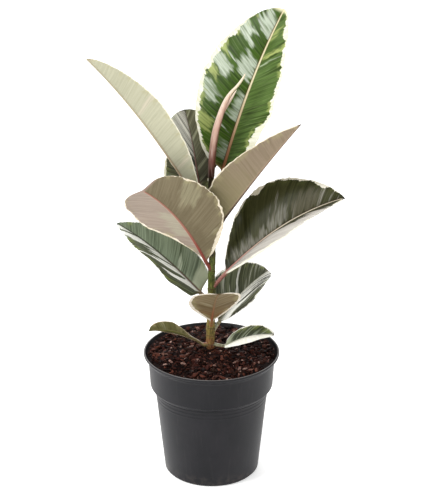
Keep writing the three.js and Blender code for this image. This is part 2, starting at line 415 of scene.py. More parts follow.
def chip_shapes(rng, count, stretch):
    """count flat-faced chips about the origin, each scaled by its stretch along X, Y and Z."""
    bpy.ops.mesh.primitive_ico_sphere_add(subdivisions=2, radius=CHIP["ball"])
    ball = bpy.context.object
    points = np.array([v.co for v in ball.data.vertices])
    faces = np.array([list(p.vertices) for p in ball.data.polygons])
    bpy.data.objects.remove(ball)
    chips = np.repeat(points[None], count, 0)
    for _ in range(CHIP["flats"]):
        normal = rng.normal(size=(count, 1, 3))
        normal /= np.linalg.norm(normal, axis=2, keepdims=True)
        depth = rng.uniform(*CHIP["depths"], (count, 1))
        over = np.clip((chips * normal).sum(2) - depth, 0, None)
        chips = chips - over[..., None] * normal
    return chips * stretch, faces


def make_chips(name, seed, count, sizes, lift):
    """Loose pieces of bark scattered over the mix. sizes gives the least and greatest (length, width,
    thickness), and lift is how far above the mix each one's middle lies, as a share of its thickness."""
    rng = np.random.default_rng(seed)
    low, high = np.array(sizes[0], float), np.array(sizes[1], float)
    stretch = low + (high - low) * rng.uniform(0, 1, (count, 1)) ** 1.6 * rng.uniform(0.7, 1.1, (count, 3))
    chips, faces = chip_shapes(rng, count, stretch[:, None, :])
    radius = (SOIL["radius"] - 0.9 - stretch[:, 0] / 2) * np.sqrt(rng.uniform(0, 1, count))
    angle = rng.uniform(0, 2 * np.pi, count)
    placed = []
    for i in range(count):
        lean = Vector((*rng.normal(0, CHIP["lean"], 2), 1)).normalized()
        turn = Vector((0, 0, 1)).rotation_difference(lean).to_matrix()
        spin = rng.uniform(0, 2 * np.pi)
        flat = chips[i].copy()
        flat[:, 0] = chips[i][:, 0] * math.cos(spin) - chips[i][:, 1] * math.sin(spin)
        flat[:, 1] = chips[i][:, 0] * math.sin(spin) + chips[i][:, 1] * math.cos(spin)
        x, y = radius[i] * math.cos(angle[i]), radius[i] * math.sin(angle[i])
        near_stem = math.dist((x, y), STEM_FOOT) < CHIP["clear"]
        rise = stretch[i, 2] * (lift - CHIP["sink"] * near_stem) + rng.uniform(-0.4, 0.6)
        placed.append(flat @ np.array(turn).T + [x, y, soil_height(x, y) + rise])
    each = chips.shape[1]
    all_faces = (faces[None] + (np.arange(count) * each)[:, None, None]).reshape(-1, 3).tolist()
    paints = [chip_paint(name)]
    made = piece(name, np.concatenate(placed), paints, faces=all_faces, smooth=False)
    note(made.data, "chip", np.repeat(rng.uniform(0, 1, (count, 3)), each, 0))


# ------------ stem and sheath
# STEM, SHEATH and FLAP are (x, y, height, radius) points. OLD_NODES are heights of scars without a leaf, and
# PAINTED_LIGHT_SIDE is the azimuth of the sheath's side that is painted paler as painted light; across from
# it the sheath gets painted shade.
STEM = [
    (-1, 6, 114, 4.4), (-1, 6, 140, 4.6), (-1, 6, 170, 4.8), (0, 6, 200, 4.2), (0, 6, 230, 3.9),
    (1, 6, 255, 3.6), (1, 6, 280, 3.5), (0, 7, 310, 3.3), (0, 8, 335, 3.2), (0, 8, 350, 3.2),
]
SHEATH = [
    (0, 8, 349, 3.7), (1.5, 8, 375, 3.9), (4.5, 8, 398, 3.9), (9.2, 8, 416, 3.7), (13.2, 8, 428, 3.3),
    (16.5, 8, 436, 2.9), (21.3, 8, 444, 2.3), (28, 8, 451.5, 1.9), (33.2, 8, 459, 1.4), (36, 8, 464.5, 0.5),
]
FLAP = [
    (14.2, 7, 423, 0.7), (16.4, 6.8, 428, 1.2), (18.8, 6.4, 433, 1.5), (23.1, 6, 441, 1.3),
    (26.9, 6, 447.5, 0.3),
]
OLD_NODES = (184, 194, 274)
PAINTED_LIGHT_SIDE = 195
# The (height, reach) of the swelling just below a leaf scar, and the (depth, reach) of the scar.
SWELLING = (0.4, 3.2)
SCAR = (0.3, 0.7)


def shoot_line(line, step):
    """Centres and radii along a shoot, by Catmull-Rom between its points."""
    known = np.array(line, float)
    padded = np.vstack([2 * known[0] - known[1], known, 2 * known[-1] - known[-2]])
    rows = []
    for k in range(len(known) - 1):
        a, b, c, d = padded[k:k + 4]
        count = max(int(np.linalg.norm(c[:3] - b[:3]) / step), 2)
        for t in np.linspace(0, 1, count, endpoint=False):
            rows.append(0.5 * (2 * b + (c - a) * t + (2 * a - 5 * b + 4 * c - d) * t * t
                               + (3 * b - a - 3 * c + d) * t ** 3))
    rows.append(known[-1])
    rows = np.array(rows)
    return rows[:, :3], rows[:, 3]


def stem_at(height):
    """The stem's centre and radius at a height."""
    rows = np.array(STEM, float)
    x, y, radius = (np.interp(height, rows[:, 2], rows[:, k]) for k in (0, 1, 3))
    return np.array([x, y, height]), radius


def stem_paint():
    """Corky red-brown at the foot, olive higher up and green above that, with lenticels and leaf scars. From
    about 245 mm up it is painted dark brown as painted shade under the leaves.
    """
    paint = Paint("stem_bark")
    place = paint.place()
    x, y, height = paint.split(place)
    grain = paint.rise(paint.noise(paint.stretched(place, (1, 1, 0.2)), 0.8, 5), 0.3, 0.7)
    low = paint.mix(grain, "#5c3120", "#a5744c")
    olive = paint.mix(grain, "#4d4420", "#93803f")
    green = paint.mix(grain, "#343c16", "#66702f")
    # Painted shade: the stem's upper part, under the leaves, is painted dark brown.
    top = paint.mix(grain, "#2a2216", "#58492c")
    level = paint.plus(height, paint.scaled(paint.noise(place, 0.12, 3), 46, -23))
    base = paint.ramp(level, low, (144, 164, olive), (190, 232, green), (245, 272, top))
    spots = paint.rise(paint.cells(place, 0.5), 0.24, 0.12)
    base = paint.mix(paint.times(spots, 0.5), base, "#b79f78")
    tilted = paint.plus(height, paint.times(paint.plus(x, y), 0.16))
    for node in SCARS:
        gap = paint.math("ABSOLUTE", paint.minus(tilted, node + 0.8))
        base = paint.mix(paint.times(paint.rise(gap, 1.1, 0.1), 0.6), base, "#4a2a1a")
    return paint.done(base, 0.55, grain, 0.3)


def tube(name, centres, radii, sides, paint, stands_for=()):
    """A round-sided shoot of level rings. radii gives each ring's radius, or one for each of its points."""
    turn = angles(sides)
    radii = np.asarray(radii)
    radii = radii[:, None] * np.ones(sides) if radii.ndim == 1 else radii
    rings = np.stack([radii * np.cos(turn), radii * np.sin(turn), np.zeros_like(radii)], -1)
    return piece(name, rings + centres[:, None, :], [paint], stands_for)


def make_stem():
    """The stem swells a little at each node and has a thin slanting ring scar round it there."""
    sides = 48
    centres, radii = shoot_line(STEM, 0.7)
    turn = angles(sides)
    height = centres[:, 2:] + 0.7 * (np.cos(turn) + np.sin(turn))
    rough = np.array([[noise.noise(Vector((math.cos(a) * 2.2, math.sin(a) * 2.2, z / 7))) for a in turn]
                      for z in centres[:, 2]])
    radii = radii[:, None] + 0.32 * rough
    for node in SCARS:
        radii = radii + bell(height - node + 1.2, SWELLING) - bell(height - node - 1, SCAR)
    tube("stem", centres, radii, sides, stem_paint(), ["stem"])


def sheath_paint():
    """Dark red at the foot, salmon pink above and cream towards the tip, finely lined along its length. The
    attribute lap holds three shares: how far round from the lapping edge, and how much painted light and how
    much painted shade a point gets."""
    paint = Paint("sheath_skin")
    place = paint.place()
    _, _, height = paint.split(place)
    lines = paint.noise(paint.stretched(place, (1, 1, 0.05)), 1.1, 4)
    level = paint.plus(height, paint.scaled(lines, 24, -12))
    base = paint.ramp(level, "#4a231c", (348, 368, "#935a4e"), (366, 396, "#cda390"), (408, 440, "#c9a68f"),
                      (436, 456, "#d6c8a6"))
    base = paint.mix(paint.times(paint.rise(lines, 0.45, 0.7), 0.45), base, "#ecdacb")
    lap, pale, painted_shade = paint.split(paint.attribute("lap"))
    # Painted light makes the lit side paler, and painted shade makes the side across from it darker.
    base = paint.mix(paint.times(pale, 0.6), base, "#f4e4d2")
    base = paint.mix(paint.times(painted_shade, 0.5), base, "#8a6253")
    # A dark seam along the lapping edge, with a darker band just before it: partly the edge's own colour and
    # partly painted shade under the overlapping edge.
    seam = paint.times(paint.rise(lap, 0.93, 0.985), paint.rise(lap, 1.02, 0.99))
    base = paint.mix(paint.times(seam, 0.85), base, "#5b2c22")
    base = paint.mix(paint.times(paint.rise(lap, 0.78, 0.95), 0.6), base, "#7d4c3f")
    return paint.done(base, 0.36, lines, 0.12)


# The lapping edge lies start degrees before +X at the foot, turns by spiral radians up the sheath, and stands
# out by edge of the radius.
LAP = {"start": 55, "spiral": 0.5, "edge": 0.2}
FLAP_THICKNESS = 0.35


def make_sheath():
    """The sheath is rolled, one edge lapping over the other in a low spiral."""
    sides = 56
    centres, radii = shoot_line(SHEATH, 0.8)
    share = ((centres[:, 2] - centres[0, 2]) / (centres[-1, 2] - centres[0, 2]))[:, None]
    turn = angles(sides)
    past_edge = LAP["spiral"] * share - turn - math.radians(LAP["start"])
    lap = past_edge % (2 * np.pi) / (2 * np.pi)
    edge = LAP["edge"] * smoothstep(lap, 0, 0.05) * (1 - 0.8 * lap)
    radii = radii[:, None] * (0.9 + edge)
    made = tube("leaf_sheath", centres, radii, sides, sheath_paint(), ["leaf_sheath"])
    # Painted light on the lit side, higher up the sheath, and painted shade on the far side, lower down.
    pale = smoothstep(np.cos(turn - math.radians(PAINTED_LIGHT_SIDE)), 0.1, 0.9) * smoothstep(share, 0.35, 0.75)
    painted_shade = smoothstep(np.cos(turn - math.radians(PAINTED_LIGHT_SIDE + 150)), 0.2, 1) * smoothstep(share, 0.8, 0.6)
    note(made.data, "lap", np.stack([lap, pale, painted_shade], -1))
    make_flap(made.data.materials[0])


def make_flap(paint):
    """The thin flap of the sheath that has split away near its tip."""
    centres, wide = shoot_line(FLAP, 0.8)
    turn = angles(16)
    wide = wide[:, None]
    thin = np.minimum(wide, FLAP_THICKNESS)
    outline = wide * thin / np.hypot(thin * np.cos(turn), wide * np.sin(turn))
    flap = tube("sheath_flap", centres, outline, len(turn), paint)
    share = np.linspace(0, 1, len(centres))[:, None] * np.ones(len(turn))
    # On the flap, painted light grows towards its tip and painted shade darkens its foot.
    note(flap.data, "lap", np.stack([0.5 + 0 * share, smoothstep(share, 0.1, 0.6), 1 - share], -1))


# ------------ leaves
# The shapes repeat the CAD source's table. node is where the leaf leaves the stem's line, and petiole has its
# (length, climb, azimuth). The rest is the blade's: over its length it turns by sweep and droops by bend, and
# it rolls about its midrib. fold is how far the (left, right) half folds up, widest the share of the length
# where that half is widest, and blunt how blunt the (base, tip) is.
Leaf = namedtuple("Leaf", "node petiole azimuth climb length width sweep bend roll fold widest blunt")
LEAVES = {
    "leaf_01": Leaf(150, (17, -2, -20), -20, 34, 62, 34, 5, 32, 10, (25, 16), (0.42, 0.42), (0.6, 0.5)),
    "leaf_02": Leaf(150, (9, 2, 203), 200, 40, 71, 32, 0, 42, 40, (25, 12), (0.78, 0.62), (0.9, 0.4)),
    "leaf_03": Leaf(170, (12, 60, -80), -80, 61, 73, 58, 0, 31, -2, (8, 8), (0.56, 0.56), (0.75, 0.5)),
    "leaf_04": Leaf(161, (18, 50, 32), 32, 46, 81, 72, 0, 26, 18, (28, 36), (0.45, 0.54), (0.55, 0.5)),
    "leaf_05": Leaf(202, (15, 37, 170), 163, 44, 123, 64, -8, 24, -17, (22, 20), (0.35, 0.35), (0.42, 0.7)),
    "leaf_06": Leaf(218, (22, 50, -5), -5, 48, 163, 106, 0, 30, 20, (35, 26), (0.52, 0.5), (0.85, 0.8)),
    "leaf_07": Leaf(240, (13, 56, 214), 211, 63, 128, 98, 0, 28, 54, (10, 20), (0.55, 0.7), (0.75, 0.3)),
    "leaf_08": Leaf(286, (15, 45, -20), -20, 56, 152, 76, 0, 4, -20, (40, 42), (0.32, 0.3), (0.58, 0.8)),
    "leaf_09": Leaf(305, (22, 46, 200), 200, 60, 212, 60, 0, 12, 20, (40, 40), (0.55, 0.55), (0.6, 0.6)),
    "leaf_10": Leaf(318, (24, 50, 150), 105, 56, 93, 62, 0, 26, -10, (5, 5), (0.5, 0.5), (0.7, 0.5)),
    "leaf_11": Leaf(329, (26, 52, 40), 48, 66, 189, 114, -16, 9, 0, (30, 14), (0.5, 0.5), (0.6, 0.55)),
    "leaf_12": Leaf(262, (16, 50, 126), 127, 56, 104, 60, 4, 14, 0, (12, 12), (0.5, 0.5), (0.6, 0.6)),
}
SCARS = OLD_NODES + tuple(leaf.node for leaf in LEAVES.values())

# columns and step are the mesh's: columns to a half blade, and millimetres between rows. ridge, crease and
# groove are the (height, reach) of what runs under and over the midrib.
LEAF = {
    "thickness": 0.85, "petiole": 2.1, "petiole_blend": 0.06, "drip_tip": 2.4, "drip_share": 0.1,
    "vein_gap": 4.6, "vein_slant": 0.42, "columns": 24, "step": 1.2,
    "ridge": (1.1, 1.4), "crease": (0.3, 0.9), "groove": (0.25, 0.7),
}


def axes_of(azimuth, climb, roll):
    """Directions along the midrib, to its right and up from the upper face, a row for each angle."""
    turn, rise, roll = np.radians(azimuth), np.radians(climb), math.radians(roll)
    flat = np.zeros_like(turn)
    right = np.stack([np.sin(turn), -np.cos(turn), flat], -1)
    along = np.stack([np.cos(turn) * np.cos(rise), np.sin(turn) * np.cos(rise), np.sin(rise)], -1)
    up = np.cross(right, along)
    return along, right * math.cos(roll) - up * math.sin(roll), up * math.cos(roll) + right * math.sin(roll)


def half_width(shape, share, side):
    """The width of one half of the blade (side 0 left, 1 right) at each share of its length."""
    skew = math.log(0.5) / math.log(shape.widest[side])
    base, tip = shape.blunt
    blunt = base + (tip - base) * share
    oval = np.clip(np.sin(np.pi * share ** skew), 0, None) ** blunt
    drip = LEAF["drip_tip"] * np.clip((1 - share) / LEAF["drip_share"], 0, 1)
    return np.maximum(np.maximum(shape.width / 2 * oval, drip), LEAF["thickness"] / 2)


def eased(rows, window):
    """Rows averaged over a window, which softens the turn from petiole to blade."""
    flat = rows.reshape(len(rows), -1)
    steps = np.arange(1, window // 2 + 1)[:, None]
    before = flat[:1] + (flat[:1] - flat[1:2]) * steps[::-1]
    after = flat[-1:] + (flat[-1:] - flat[-2:-1]) * steps
    padded = np.concatenate([before, flat, after])
    kernel = np.ones(window) / window
    return np.stack([np.convolve(column, kernel, "valid") for column in padded.T], -1).reshape(rows.shape)


def leaf_rows(shape):
    """Where each row of the leaf lies: centres, axes, share of the blade's length, and distance along it."""
    reach, climb, azimuth = shape.petiole
    stalk = np.arange(0, reach, 1.0)
    blade = np.linspace(0, 1, int(shape.length / LEAF["step"]) + 1)
    turned = shape.azimuth + shape.sweep * blade
    drooped = shape.climb - shape.bend * blade ** 1.5
    azimuths = np.concatenate([np.full(len(stalk), azimuth, float), turned])
    climbs = np.concatenate([np.full(len(stalk), climb, float), drooped])
    blade_step = shape.length / (len(blade) - 1)
    steps = np.concatenate([np.full(len(stalk), reach / len(stalk)), np.full(len(blade) - 1, blade_step)])
    headings = axes_of((azimuths[1:] + azimuths[:-1]) / 2, (climbs[1:] + climbs[:-1]) / 2, 0)[0]
    foot, stem_radius = stem_at(shape.node)
    centres = np.vstack([np.zeros(3), np.cumsum(headings * steps[:, None], 0)]) + foot
    share = np.concatenate([np.zeros(len(stalk)), blade])
    run = np.concatenate([np.linspace(-reach, 0, len(stalk), endpoint=False), blade * shape.length])
    window = 7
    _, right, up = axes_of(eased(azimuths, window), eased(climbs, window), shape.roll)
    inside = run < -reach + stem_radius - 0.8
    return [rows[~inside] for rows in (eased(centres, window), right, up, share, run)]


def by_half(left, rows):
    """A (row, point around) array, from one number a row for the left half and one for the right."""
    return np.where(left, rows[0][:, None], rows[1][:, None])


def folded(fold, away):
    """How far out and up each share of a half blade 1 wide lies once folded, and its slope there."""
    fine = np.linspace(0, 1, 101)
    slope = np.radians(fold * (1.25 - 0.5 * fine))
    steps = [(part[1:] + part[:-1]) / 2 for part in (np.cos(slope), np.sin(slope))]
    out, up = (np.concatenate([[0], np.cumsum(step) / 100]) for step in steps)
    return [np.interp(away, fine, curve) for curve in (out, up, slope)]


def leaf_relief(look, share, run, seed, left, away, half):
    """How far each point rises from a plain fold: quilting between the veins, a wavy margin and its curl."""
    far = away * half
    vein = run[:, None] - LEAF["vein_slant"] * far + 2.2 * wander(run, seed + 1, 12)[:, None]
    strength = np.clip(0.6 + wander(run, seed + 6, 15), 0.1, 1.4)[:, None]
    quilt = strength * np.cos(2 * np.pi * vein / LEAF["vein_gap"]) * np.clip(far / 4, 0, 1) * (1 - away ** 6)
    taper = np.clip(np.sin(np.pi * share), 0, 1)[:, None] ** 0.5
    waves = by_half(left, [wander(run, seed + order, 26) for order in (2, 3)])
    ripples = by_half(left, [wander(run, seed + order, 9) for order in (4, 5)])
    lift = look["quilt"] * quilt * taper
    lift = lift + (look["wave"] * waves + 0.35 * ripples) * taper * away ** 2 * (half / half.max())
    return lift - look["curl"] * taper * smoothstep(away, 0.86, 1)


def leaf_skin(share, far, away, upper):
    """How far the skin lies from the blade's middle, with a ridge under the midrib and a low crease between
    two grooves over it, all slimmer towards the tip."""
    slim = (1 - 0.75 * share)[:, None]
    skin = LEAF["thickness"] / 2 * (1 - away ** 4)
    under = -skin - slim * bell(far / slim, LEAF["ridge"])
    over = skin + slim * bell(far / slim, LEAF["crease"]) - bell(far - 2 * slim, LEAF["groove"])
    return np.where(upper, over, under)


def leaf_section(shape, look, share, run, seed):
    """The blade's own shape: how far each point lies to the right and up, as (row, point around) arrays."""
    columns = LEAF["columns"]
    even = np.linspace(0, 1, columns + 1)
    spread = even - 0.78 / (2 * np.pi) * np.sin(2 * np.pi * even)
    across = np.concatenate([-spread[::-1], spread[1:]])
    across = np.concatenate([across, across[-2:0:-1]])
    upper = np.arange(len(across)) <= 2 * columns
    away = np.abs(across)
    left = across < 0
    nicks = [1 + 0.014 * wander(run, seed + 20 * side, 4) for side in (0, 1)]
    half = by_half(left, [half_width(shape, share, side) * nicks[side] for side in (0, 1)])
    halves = zip(*(folded(fold, away) for fold in shape.fold))
    out, rise, lean = (np.where(left, *pair) for pair in halves)
    sign = np.sign(across)
    far = away * half
    off = leaf_skin(share, far, away, upper) + leaf_relief(look, share, run, seed, left, away, half)
    right = sign * out * half - sign * off * np.sin(lean)
    up = rise * half + off * np.cos(lean)
    return right, up, across, far, half


def make_leaf(name, shape, look, seed):
    """One leaf: petiole, midrib and blade in one closed skin, with upper and under paint."""
    centres, right, up, share, run = leaf_rows(shape)
    to_right, to_up, across, far, half = leaf_section(shape, look, share, run, seed)
    count = len(across)
    blend = 1 - smoothstep(share, 0, LEAF["petiole_blend"])[:, None]
    blend = np.where(run[:, None] < 0, 1, blend)
    turn = np.pi * (1 - np.arange(count) / (count / 2))
    from_stem = (run - run[0])[:, None]
    thick = LEAF["petiole"] * (1 + 0.45 * np.exp(-from_stem / 2.5))
    to_right = to_right + (thick * np.cos(turn) - to_right) * blend
    to_up = to_up + (thick * np.sin(turn) - to_up) * blend
    points = centres[:, None] + right[:, None] * to_right[..., None] + up[:, None] * to_up[..., None]
    paints = [leaf_paint(name, look | plain | look[face], seed, face) for face, plain in PLAIN_FACES.items()]
    paint_of = np.tile((np.arange(count) >= count / 2).astype(int), len(centres) - 1).tolist() + [0, 0]
    made = piece(name, points, paints, [name], paint_of=paint_of)
    along = np.broadcast_to(run[:, None], far.shape)
    note(made.data, "blade_mm", np.stack([far * np.sign(across), along, half - far], -1))
    share_of = np.broadcast_to(share[:, None], far.shape)
    stalk = np.broadcast_to(blend, far.shape)
    note(made.data, "blade_share", np.stack([share_of, stalk, np.zeros_like(far)], -1))


class LeafPaint(Paint):
    """Paint for one face of a leaf, in its own coordinates. share goes from 0 to 1 up the blade, stalk is 1
    on the petiole and right is 1 on the right half. In millimetres, away is the distance from the midrib,
    margin that from the edge, and vein the place on the midrib where a point's side vein starts."""

    def __init__(self, name, look, seed):
        super().__init__(name)
        self.look = look
        self.seed = seed
        across, along, self.margin = self.split(self.attribute("blade_mm"))
        self.share, self.stalk, _ = self.split(self.attribute("blade_share"))
        self.away = self.math("ABSOLUTE", across)
        self.right = self.math("GREATER_THAN", across, 0.0)
        slant = self.times(self.sided("slant"), self.scaled(self.share, 0.9, 0.55))
        self.vein = self.minus(along, self.times(self.away, slant))

    def sided(self, key):
        """A (left, right) pair of numbers of the look, by which half the point is on."""
        left, right = self.look[key]
        return self.scaled(self.right, right - left, left)

    def half(self, side):
        """1 on one half of the blade, 0 left or 1 right, and 0 on the other."""
        return self.right if side else self.minus(1.0, self.right)

    def hue(self, key):
        """A colour of the look, which may be a (left, right) pair."""
        code = self.look[key]
        return code if isinstance(code, str) else self.mix(self.right, *code)

    def streaks(self, wide, long, order, detail=2.0):
        """Noise about wide by long millimetres, drawn out along the side veins."""
        number = self.scaled(self.right, 7.3, self.seed * 13.7 + order * 3.1)
        place = self.join(self.math("DIVIDE", self.vein, wide), self.math("DIVIDE", self.away, long), number)
        return self.noise(place, 1, detail)

    def green(self):
        """Streaky green with pale sectors, the look's zones and a foot of its own colour. On leaf_06 and
        leaf_11 the silver in the sectors and zones is partly painted reflection, and on leaf_10 the silver
        sectors are a painted highlight.
        """
        leafy = self.mix(self.rise(self.streaks(1.7, 45, 4, 3), 0.3, 0.7), self.hue("dark"), self.hue("mid"))
        clouds = self.rise(self.streaks(16, 70, 9), 0.4, 0.65)
        leafy = self.mix(self.times(clouds, 0.5), leafy, self.hue("mid"))
        brushed = self.rise(self.streaks(1.2, 34, 6, 3), 0.28, 0.66)
        nearby = self.times(self.rise(self.away, 26, 3), self.sided("near"))
        sector = self.plus(self.streaks(self.look["sector"], 60, 5, 3), nearby)
        edge = self.scaled(self.sided("sectors"), -0.45, 0.72)
        sector = self.rise(self.minus(sector, edge), 0, 0.07)
        pale = self.mix(brushed, self.hue("grey"), self.hue("silver"))
        leafy = self.mix(self.times(sector, self.scaled(brushed, 0.45, 0.5)), leafy, pale)
        leafy = self.zones(leafy)
        uneven_foot = self.scaled(self.streaks(7, 20, 14), 0.2, -0.1)
        foot = self.minus(self.plus(self.share, uneven_foot), self.sided("foot"))
        fade = self.look["foot_edge"]
        return self.mix(self.rise(foot, fade, -fade), leafy, self.hue("foot_hue"))

    def zones(self, leafy):
        """The look's zones, with broken ends and edges, laid over the green as thin streaks."""
        loose = self.scaled(self.streaks(5.5, 30, 15, 4), 36, -18)
        shifted = self.plus(self.vein, self.scaled(self.streaks(5, 12, 16), 12, -6))
        thin = self.rise(self.streaks(1.5, 24, 17, 4), 0.3, 0.6)
        for side, low, high, inner, outer, key, strength in self.look["zones"]:
            reach = self.plus(self.away, loose)
            mask = self.times(self.rise(shifted, low - 2, low + 2), self.rise(shifted, high + 2, high - 2))
            mask = self.times(mask, self.rise(reach, inner - 4, inner + 3))
            mask = self.times(mask, self.rise(reach, outer + 5, outer - 5))
            mask = self.times(mask, self.half(side))
            cover = self.scaled(thin, 0.75 * strength, 0.25 * strength)
            leafy = self.mix(self.times(mask, cover), leafy, self.hue(key))
        return leafy

    def side_veins(self):
        """A wave that is 1 on each side vein and -1 between them, and how clear the veins are."""
        wobble = self.scaled(self.streaks(24, 50, 12), 9, self.vein)
        wave = self.math("COSINE", self.times(wobble, 2 * math.pi / LEAF["vein_gap"]))
        return wave, self.rise(self.streaks(9, 26, 13), 0.3, 0.62)

    def cream_border(self, leafy):
        """A ragged cream border round the green, with lime inside it, and cream by the midrib up to heart."""
        ragged = self.look["ragged"]
        broad = self.scaled(self.streaks(9, 60, 1), 4 * ragged, -2 * ragged)
        jagged = self.scaled(self.streaks(1.8, 14, 2, 3), 3 * ragged, -1.5 * ragged)
        uneven = self.plus(broad, jagged)
        for side, middle, reach, depth in self.look["patches"]:
            gap = self.math("ABSOLUTE", self.minus(self.share, middle))
            bulge = self.times(self.rise(gap, reach, 0), depth)
            uneven = self.minus(uneven, self.times(bulge, self.half(side)))
        inside = self.plus(self.minus(self.margin, self.sided("border")), uneven)
        lime = self.times(self.rise(inside, 9, 1), self.rise(self.streaks(7, 18, 10, 3), 0.5, 0.58))
        leafy = self.mix(self.times(lime, self.look["limes"]), leafy, self.hue("lime"))
        finger = self.look["finger"]
        fingers = self.scaled(self.streaks(self.look["finger_wide"], 40, 3, 3), 2 * finger, -finger)
        heart = self.plus(self.minus(self.away, self.sided("heart")), fingers)
        green = self.times(self.rise(inside, -0.35, 0.35), self.rise(heart, -0.5, 0.5))
        creamy = self.rise(self.streaks(2.5, 30, 11), 0.35, 0.7)
        return self.mix(green, self.mix(creamy, self.hue("cream"), self.hue("light")), leafy)

    def midrib(self, blade, mottle):
        """The midrib between its grooves, the petiole and the drip tip."""
        rib_width = self.scaled(self.share, -0.9, self.look["rib"])
        past_rib = self.minus(self.away, rib_width)
        groove = self.times(self.rise(past_rib, 1.3, 0.2), self.look["grooves"])
        blade = self.mix(groove, blade, self.hue("groove"))
        rib_hue = self.mix(self.rise(self.share, 0.02, 0.6), self.hue("rib_foot"), self.hue("rib_tip"))
        blade = self.mix(self.rise(past_rib, 0.3, -0.3), blade, rib_hue)
        stalk_hue = self.mix(self.rise(mottle, 0.35, 0.65), self.hue("rib_foot"), self.hue("stalk"))
        blade = self.mix(self.stalk, blade, stalk_hue)
        return self.mix(self.rise(self.share, 0.965, 0.995), blade, self.hue("tip"))


def leaf_paint(name, look, seed, face):
    """One face of a leaf. The upper face is glossier and its veins stand out less."""
    upper = face == "upper"
    paint = LeafPaint(f"{name}_{face}", look, seed)
    wave, clear = paint.side_veins()
    lines = paint.times(paint.times(paint.rise(wave, 0.7, 1), clear), look["vein"])
    leafy = paint.mix(lines, paint.green(), paint.hue("line"))
    mottle = paint.noise(paint.place(), 0.5, 4)
    blade = paint.midrib(paint.cream_border(leafy), mottle)
    veins = paint.times(paint.times(wave, clear), 0.25)
    height = paint.plus(paint.times(paint.streaks(0.8, 6, 8, 3), 0.6), veins)
    if upper:
        return paint.done(blade, paint.scaled(mottle, 0.18, 0.26), height, 0.1, look["gloss"])
    return paint.done(blade, paint.scaled(mottle, 0.2, 0.5), height, 0.16, 0.2)


# How a leaf looks. A pair is for the (left, right) half, and distances are millimetres.
# border, heart: how far cream reaches in from the margin and out from the midrib.
# ragged: how far the border wanders.
# finger, finger_wide: how far green and cream reach into each other by the midrib, and how wide they do.
# patches: where the border is deeper, as (half, share, reach, depth), with half 0 left and 1 right, and share
#     and reach parts of the length.
# zones: patches of another colour between two veins, as (half, first vein, last vein, inner edge, outer edge,
#     colour, strength). A vein goes by its place on the midrib and an edge by its distance from it. Above a
#     strength of 1 a zone is solid rather than streaky.
# sectors, sector, near: the share of pale sectors, their width, and how much likelier they are by the midrib.
# foot, foot_edge: the share of the length that is foot_hue, and over how much of it that fades.
# limes, vein, grooves: how strong those marks are.
# rib: half the midrib's width at its foot.
# slant: how far a side vein comes forward along the leaf for each millimetre outwards.
# quilt, wave, curl: how far the blade itself rises between its veins and along its margin.
# gloss: the upper face's specular level.
PLAIN_LOOK = dict(
    border=(2.5, 2.5), heart=(-60, -60), ragged=1.4, finger=17, finger_wide=3.4, sectors=(0.3, 0.3),
    sector=11, near=(0, 0), foot=(-1, -1), foot_edge=0.03, limes=0.4, vein=0.2, grooves=0.5, rib=1.4,
    slant=(0.42, 0.42), quilt=0.045, wave=1.6, curl=0.7, gloss=0.32, stalk="#8c7a4e", tip="#5b4a30",
    foot_hue="#b5b998", patches=(), zones=(), upper={}, under={},
)
PLAIN_UPPER = dict(
    dark="#22260f", mid="#3c4324", grey="#6c735c", silver="#96a08a", lime="#96a45c", cream="#ece8cb",
    light="#f7f5e8", line="#7d876a", groove="#2e3620", rib_foot="#a05c4e", rib_tip="#cfc0a2",
)
PLAIN_UNDER = dict(
    dark="#7d7257", mid="#8f8567", grey="#9b9474", silver="#aba384", lime="#aba378", cream="#e4d7b9",
    light="#f0e7d0", line="#746a4c", groove="#7f7155", rib_foot="#964c40", rib_tip="#b59d80",
)
PLAIN_FACES = {"upper": PLAIN_UPPER, "under": PLAIN_UNDER}
